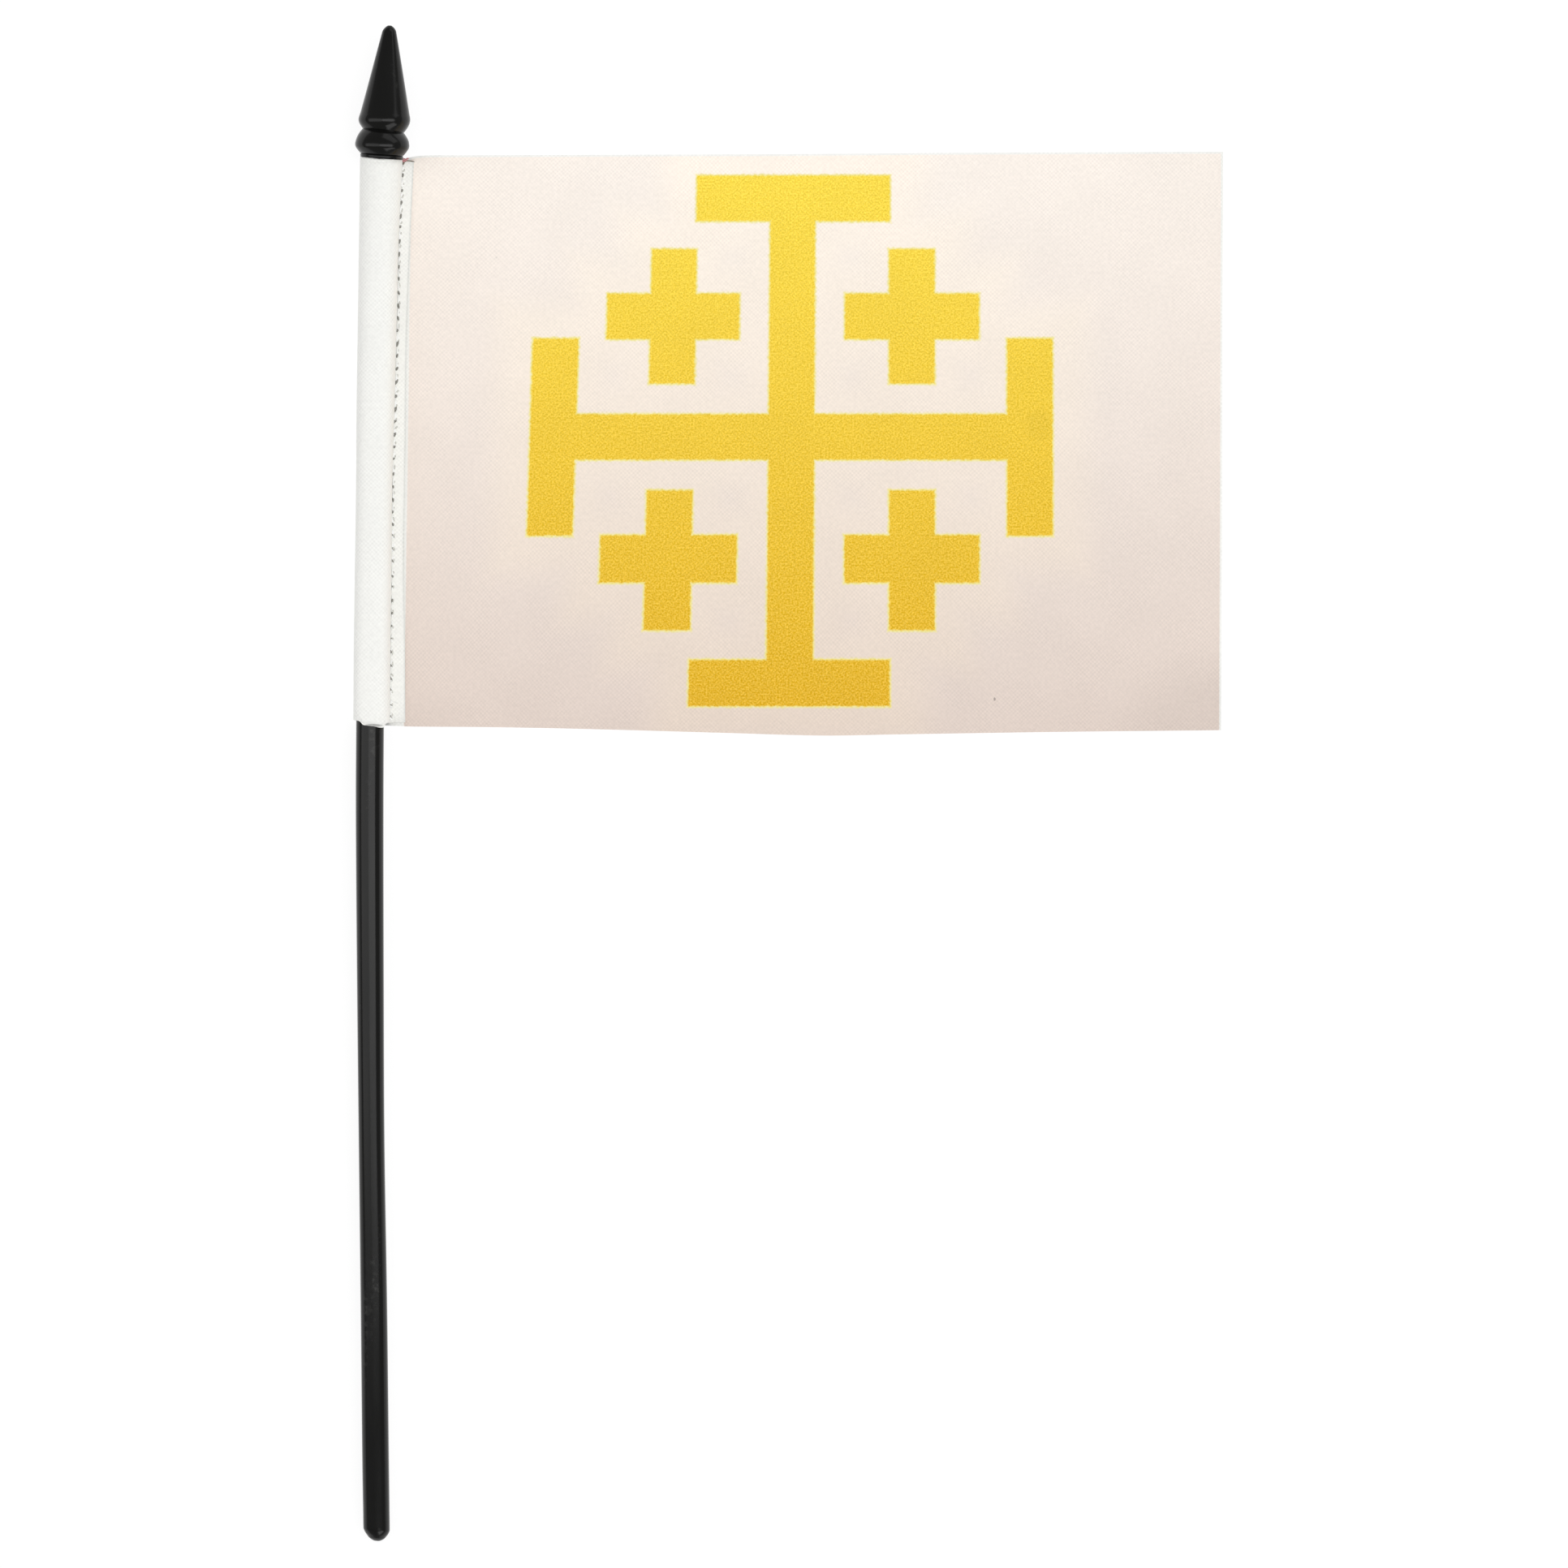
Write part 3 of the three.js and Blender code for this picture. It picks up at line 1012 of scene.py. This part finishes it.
    def build(self) -> bpy.types.Object:
        """Build the closed sheet, with its flat places as UV maps.

        Returns:
            The cloth.
        """
        grid = [self.row(share) for share in self.shares()]
        flats = [self.flat_places(row) for row in grid]
        across = len(grid[0])
        points = []
        for half in (self.thickness / 2, -self.thickness / 2):
            for row in grid:
                for i, point in enumerate(row):
                    a, b = row[max(i - 1, 0)], row[min(i + 1, across - 1)]
                    along = Vector((b.x - a.x, b.z - a.z)).normalized()
                    place = point + Vector((along.y, 0.0, -along.x)) * half
                    points.append(Vector((place.x, place.y, max(0.0, place.z))) * MM)
        size = len(grid) * across
        faces, sides = [], []

        def quad(a: tuple, b: tuple, c: tuple, d: tuple, side: ClothFace) -> None:
            """Keep a face by the side, row and column of its corners."""
            faces.append([s * size + j * across + i for s, j, i in (a, b, c, d)])
            sides.append(side)

        last, top = across - 1, len(grid) - 1
        turned_columns = self.lap_columns + self.wall_columns + self.over_columns
        for j in range(top):
            for i in range(last):
                quad((0, j, i), (0, j + 1, i), (0, j + 1, i + 1), (0, j, i + 1), ClothFace.REVERSE)
                quad((1, j, i), (1, j, i + 1), (1, j + 1, i + 1), (1, j + 1, i), ClothFace.PRINTED)
            quad((0, j, 0), (1, j, 0), (1, j + 1, 0), (0, j + 1, 0), ClothFace.REVERSE)
            quad((0, j, last), (0, j + 1, last), (1, j + 1, last), (1, j, last), ClothFace.REVERSE)
        for i in range(last):
            quad((0, 0, i), (0, 0, i + 1), (1, 0, i + 1), (1, 0, i), ClothFace.REVERSE)
            quad((0, top, i), (1, top, i), (1, top, i + 1), (0, top, i + 1), ClothFace.REVERSE)
        piece = mesh_object("flag_cloth_sheet", points, faces, creased_over=self.sharp_over)
        flat_map = piece.data.uv_layers.new(name="flat_cloth")
        edge_map = piece.data.uv_layers.new(name="from_cut_edges")
        for polygon, side in zip(piece.data.polygons, sides):
            polygon.material_index = side.value
            places = [divmod(piece.data.loops[corner].vertex_index % size, across)
                      for corner in polygon.loop_indices]
            turned_over = max(i for _, i in places) < turned_columns
            for corner, (j, i) in zip(polygon.loop_indices, places):
                u, v = flats[j][i]
                flat_map.data[corner].uv = (u, v)
                # Below nought on the turned-over layer, from its own cut edge.
                from_side = flats[j][0 if turned_over else last][0] - u
                edge_map.data[corner].uv = (from_side, flats[top][i][1] - v)
        return piece

    def dress(self, piece: bpy.types.Object, sewn_on: list[bpy.types.Object]) -> None:
        """Args:
            piece: the cloth.
            sewn_on: the thread pieces that go with it; not used.
        """
        for face in ClothFace:
            piece.data.materials.append(self.finish.material(face))
        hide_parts("flag_cloth")
        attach(piece, BODY)


@dataclass(frozen=True)
class StitchRow:
    """One row of like marks along the seam. Sizes are in millimetres, angles in radians.

    size is one mark's, and from_top and aside are where the row starts. slant turns every
    mark. sway, uneven and stray are how far chance turns, stretches and moves each one.
    """

    name: str
    thread: SpunThread
    size: tuple[float, float, float]
    from_top: float
    aside: float = 0.0
    slant: float = 0.0
    sway: float = 0.1
    uneven: float = 0.1
    stray: float = 0.05
    under: bool = False
    seed: int = 3


@dataclass(frozen=True)
class ThreadEnd:
    """A loose end of thread, or a thin line laid like one, in millimetres. Its line has its height
    over the cloth as z.
    """

    name: str
    thread: SpunThread
    thickness: float
    line: tuple[tuple[float, float, float], ...]


WHITE_THREAD = SpunThread("white_spun_polyester", "#ffffff", "#f7f7f4")
# Painted shade: grey copies of the white thread stand for the shade in the needle holes and beside
# the stitches.
HOLE_SHADE_THREAD = SpunThread("needle_hole_painted_shade", "#97968f", "#7f7e77")
SHADED_THREAD = SpunThread("white_thread_in_shade", "#d6d5cf", "#c8c7c0")
RED_THREAD = SpunThread("rose_red_spun_polyester", "#d6999c", "#bf7f83")
# A brown line whose lower end is painted shade, the dark hole under the red thread end.
BROWN_LINE_AND_KNOT_SHADE = SpunThread("brown_line_and_painted_knot_shade", "#8a8170", "#70685a")


@dataclass
class SleeveSeam:
    """The lockstitched seam that makes the sleeve, with painted shade in its needle holes, a red
    thread end at its top and a thin brown line beside it.
    """

    cloth: SleevedCloth
    pitch: float = 2.25
    rows: tuple[StitchRow, ...] = (
        StitchRow("seam_stitches", WHITE_THREAD, (0.52, 1.75, 0.3), 2.05, sway=0.09),
        # Painted shade: dark grey lumps stand for the shade in the needle holes.
        StitchRow("seam_needle_hole_shade", HOLE_SHADE_THREAD, (0.52, 0.98, 0.3), 0.92, slant=-0.55,
                  sway=0.4, uneven=0.3, stray=0.28, seed=5),
        StitchRow("seam_thread_shade", SHADED_THREAD, (0.4, 0.7, 0.3), 2.05, aside=0.16,
                  slant=-0.3, sway=0.6, uneven=0.5, stray=0.4, seed=8),
        StitchRow("seam_stitches_behind", WHITE_THREAD, (0.4, 1.9, 0.08), 0.92, under=True,
                  seed=11),
    )
    ends: tuple[ThreadEnd, ...] = (
        ThreadEnd("red_thread_end", RED_THREAD, 0.3, (
            (-68.1, 110.0, 0.0),
            (-67.75, 110.27, 0.16),
            (-67.1, 110.15, 0.1),
            (-67.45, 109.87, 0.2),
            (-67.95, 110.1, 0.26),
            (-67.4, 110.32, 0.3),
            (-67.0, 110.05, 0.3),
            (-66.95, 110.35, 0.2),
            (-66.65, 110.4, 0.05),
        )),
        # A thin brown line along the flap's top edge, whose lower end is painted shade: the dark
        # hole under the red thread end.
        ThreadEnd("brown_line_and_knot_shade", BROWN_LINE_AND_KNOT_SHADE, 0.22, (
            (-67.6, 109.35, 0.1),
            (-67.42, 109.55, 0.2),
            (-67.45, 109.8, 0.12),
            (-67.0, 110.0, 0.05),
            (-66.6, 110.0, 0.1),
            (-66.1, 109.93, 0.07),
            (-65.65, 109.84, -0.04),
        )),
    )

    def tree(self) -> bpy.types.NodeTree:
        """Build the node tree that lays rounded stitches along a path.

        Returns:
            The tree, with an input for each size.
        """
        tree = bpy.data.node_groups.new("stitches_along_path", "GeometryNodeTree")
        for name, kind in (("Path", "Geometry"), ("Pitch", "Float"), ("Size", "Vector"),
                           ("Slant", "Float"), ("Sway", "Float"), ("Uneven", "Float"),
                           ("Stray", "Float"), ("Seed", "Int"), ("Thread", "Material")):
            tree.interface.new_socket(name, in_out="INPUT", socket_type=f"NodeSocket{kind}")
        tree.interface.new_socket("Stitches", in_out="OUTPUT", socket_type="NodeSocketGeometry")
        node = partial(add, tree)
        given = node("NodeGroupInput").node.outputs
        curve = node("GeometryNodeMeshToCurve", {0: given["Path"]})
        along = node("GeometryNodeCurveToPoints", {"Curve": curve, "Length": given["Pitch"]},
                     mode="LENGTH").node.outputs
        lump = node("GeometryNodeMeshUVSphere", {"Segments": 8, "Rings": 5, "Radius": 0.5})
        smooth = node("GeometryNodeSetShadeSmooth", {0: lump})
        stitch = node("GeometryNodeTransform", {"Geometry": smooth, "Scale": given["Size"]})
        way = node("FunctionNodeAlignRotationToVector", {"Vector": along["Tangent"]}, axis="Y")
        laid = node("GeometryNodeInstanceOnPoints", {
            "Points": along["Points"], "Instance": stitch, "Rotation": way})
        chance = node("FunctionNodeRandomValue", {
            0: (-1.0, -1.0, -1.0), 1: (1.0, 1.0, 1.0), "Seed": given["Seed"]},
            data_type="FLOAT_VECTOR")
        turned_by, sized_by, moved_by = node("ShaderNodeSeparateXYZ", {0: chance}).node.outputs
        turn = node("ShaderNodeMath", {0: turned_by, 1: given["Sway"], 2: given["Slant"]},
                    operation="MULTIPLY_ADD")
        size = node("ShaderNodeMath", {0: sized_by, 1: given["Uneven"], 2: 1.0},
                    operation="MULTIPLY_ADD")
        stray = node("ShaderNodeMath", {0: moved_by, 1: given["Stray"]}, operation="MULTIPLY")
        moved = node("GeometryNodeTranslateInstances", {
            "Instances": laid, "Translation": node("ShaderNodeCombineXYZ", {"Y": stray}),
            "Local Space": True})
        turned = node("GeometryNodeRotateInstances", {
            "Instances": moved, "Rotation": node("ShaderNodeCombineXYZ", {"Z": turn}),
            "Local Space": True})
        sized = node("GeometryNodeScaleInstances", {
            "Instances": turned, "Scale": node("ShaderNodeCombineXYZ", {0: 1.0, 1: size, 2: 1.0})})
        real = node("GeometryNodeRealizeInstances", {0: sized})
        dressed = node("GeometryNodeSetMaterial", {"Geometry": real, "Material": given["Thread"]})
        result = tree.nodes.new("NodeGroupOutput")
        tree.links.new(dressed, result.inputs[0])
        return tree

    def sew(self, row: StitchRow, tree: bpy.types.NodeTree) -> bpy.types.Object:
        """Lay one row of stitches along the seam.

        Args:
            row: the row's sizes and thread.
            tree: the tree that lays them.

        Returns:
            The row as a plain mesh.
        """
        points = self.cloth.seam_line(row.from_top, row.aside, row.under)
        path = bpy.data.meshes.new(row.name)
        path.from_pydata(points, [(k, k + 1) for k in range(len(points) - 1)], [])
        piece = bpy.data.objects.new(row.name, path)
        bpy.context.collection.objects.link(piece)
        layer = piece.modifiers.new("stitches", "NODES")
        layer.node_group = tree
        values = {
            "Pitch": self.pitch * MM,
            "Size": [side * MM for side in row.size],
            "Slant": row.slant,
            "Sway": row.sway,
            "Uneven": row.uneven,
            "Stray": row.stray * MM,
            "Seed": row.seed,
            "Thread": row.thread.material(),
        }
        for socket in tree.interface.items_tree:
            if socket.name in values:
                layer[socket.identifier] = values[socket.name]
        graph = bpy.context.evaluated_depsgraph_get()
        sewn = bpy.data.meshes.new_from_object(piece.evaluated_get(graph))
        piece.modifiers.clear()
        piece.data = sewn
        return piece

    def leave(self, end: ThreadEnd) -> bpy.types.Object:
        """Leave a loose end of thread, or a thin line laid like one, on the top of the seam.

        Args:
            end: its line, thickness and thread.

        Returns:
            The thread as a plain mesh.
        """
        curve = bpy.data.curves.new(end.name, "CURVE")
        curve.dimensions, curve.resolution_u = "3D", 6
        curve.bevel_depth, curve.bevel_resolution = end.thickness / 2 * MM, 2
        curve.use_fill_caps = True
        line = curve.splines.new("NURBS")
        line.use_endpoint_u, line.order_u = True, 3
        line.points.add(len(end.line) - 1)
        cloth = self.cloth
        for point, (x, y, over) in zip(line.points, end.line):
            z = cloth.lie(x, y) + 1.5 * cloth.thickness + cloth.layer_gap + over
            point.co = (x * MM, y * MM, z * MM, 1.0)
        draft = bpy.data.objects.new(end.name, curve)
        bpy.context.collection.objects.link(draft)
        graph = bpy.context.evaluated_depsgraph_get()
        mesh = bpy.data.meshes.new_from_object(draft.evaluated_get(graph))
        bpy.data.objects.remove(draft)
        mesh.shade_smooth()
        piece = bpy.data.objects.new(end.name, mesh)
        bpy.context.collection.objects.link(piece)
        piece.data.materials.append(end.thread.material())
        return piece

    def build(self) -> list[bpy.types.Object]:
        """Sew the seam and leave its thread end and its brown line.

        Returns:
            The rows of stitches, then the thread end and the brown line.
        """
        tree = self.tree()
        made = [self.sew(row, tree) for row in self.rows] + [self.leave(end) for end in self.ends]
        for piece in made:
            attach(piece, BODY)
        return made


@dataclass(frozen=True)
class SoftBox:
    """A soft box that hangs at a place and faces an aim, in metres.

    size is its width and height. radiance is how bright its face looks, 1 being as white as
    the ground.
    """

    name: str
    place: tuple[float, float, float]
    aim: tuple[float, float, float]
    size: tuple[float, float]
    radiance: float

    def hang(self) -> None:
        """Hang it in the scene, out of the camera's sight."""
        light = bpy.data.lights.new(self.name, "AREA")
        light.shape, light.size, light.size_y = "RECTANGLE", *self.size
        light.energy = math.pi * self.size[0] * self.size[1] * self.radiance
        lamp = bpy.data.objects.new(self.name, light)
        lamp.visible_camera = False
        lamp.location = self.place
        facing = Vector(self.aim) - Vector(self.place)
        lamp.rotation_euler = facing.to_track_quat("-Z", "Y").to_euler()
        bpy.context.collection.objects.link(lamp)


POLE_TOP = (-0.073, 0.13, 0.0)
FLAG_MIDDLE = (0.0, 0.0, 0.0)


@dataclass
class Studio:
    """A white ground under soft boxes, with the camera straight above, as in the photograph.

    The two boards make the pole's long highlight, which ends where their lower edges do.
    """

    ground: BacklitAcrylic = BacklitAcrylic()
    ground_half: float = 4.0
    boxes: tuple[SoftBox, ...] = (
        SoftBox("hoist_board", (-0.713, 0.13, 0.766), POLE_TOP, (0.6, 1.2), 1.45),
        SoftBox("overhead_board", (0.35, 0.13, 1.13), POLE_TOP, (0.6, 1.3), 2.5),
        SoftBox("foot_softbox", (0.8, -1.2, 0.85), FLAG_MIDDLE, (1.4, 0.8), 2.0),
        SoftBox("head_softbox", (0.75, 1.25, 0.62), FLAG_MIDDLE, (1.5, 0.75), 0.85),
    )
    room_light: float = 0.33
    camera_place: tuple[float, float, float] = (-0.00036, 0.0, 1.1)
    frame_width: float = 0.27705

    def floor(self) -> bpy.types.Object:
        """Lay the ground just under the flag.

        Returns:
            The ground.
        """
        half = self.ground_half
        corners = [(-half, -half, 0), (half, -half, 0), (half, half, 0), (-half, half, 0)]
        floor = mesh_object("background_paper", corners, [(0, 1, 2, 3)])
        floor.data.materials.append(self.ground.material())
        return floor

    def light(self) -> None:
        """Hang the soft boxes and set the room's own dim light."""
        for box in self.boxes:
            box.hang()
        world = bpy.data.worlds.new("dim_studio")
        bpy.context.scene.world = world
        world.use_nodes = True
        back = world.node_tree.nodes["Background"]
        back.inputs[0].default_value = linear("#ffffff")
        back.inputs[1].default_value = self.room_light
        bpy.context.scene.view_settings.view_transform = "Standard"

    def camera(self) -> None:
        """Hang the camera straight over the flag's middle."""
        data = bpy.data.cameras.new("overhead_camera")
        data.sensor_width = 36.0
        data.lens = data.sensor_width * self.camera_place[2] / self.frame_width
        data.clip_start, data.clip_end = 0.01, 10.0
        camera = bpy.data.objects.new("overhead_camera", data)
        camera.location = self.camera_place
        bpy.context.collection.objects.link(camera)
        bpy.context.scene.camera = camera


def main() -> None:
    """Build the flag and its studio."""
    logging.basicConfig(level=logging.INFO, format="%(message)s")
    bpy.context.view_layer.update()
    studio = Studio()
    studio.camera()
    studio.floor()
    studio.light()
    pole = SpearPole()
    moulding = pole.build()
    pole.dress(moulding)
    log.info("spear_pole: %d faces", len(moulding.data.polygons))
    cloth = SleevedCloth(pole)
    sheet = cloth.build()
    sewn = SleeveSeam(cloth).build()
    cloth.dress(sheet, sewn)
    for piece in (sheet, *sewn):
        log.info("%s: %d faces", piece.name, len(piece.data.polygons))


if __name__ == "__main__":
    main()
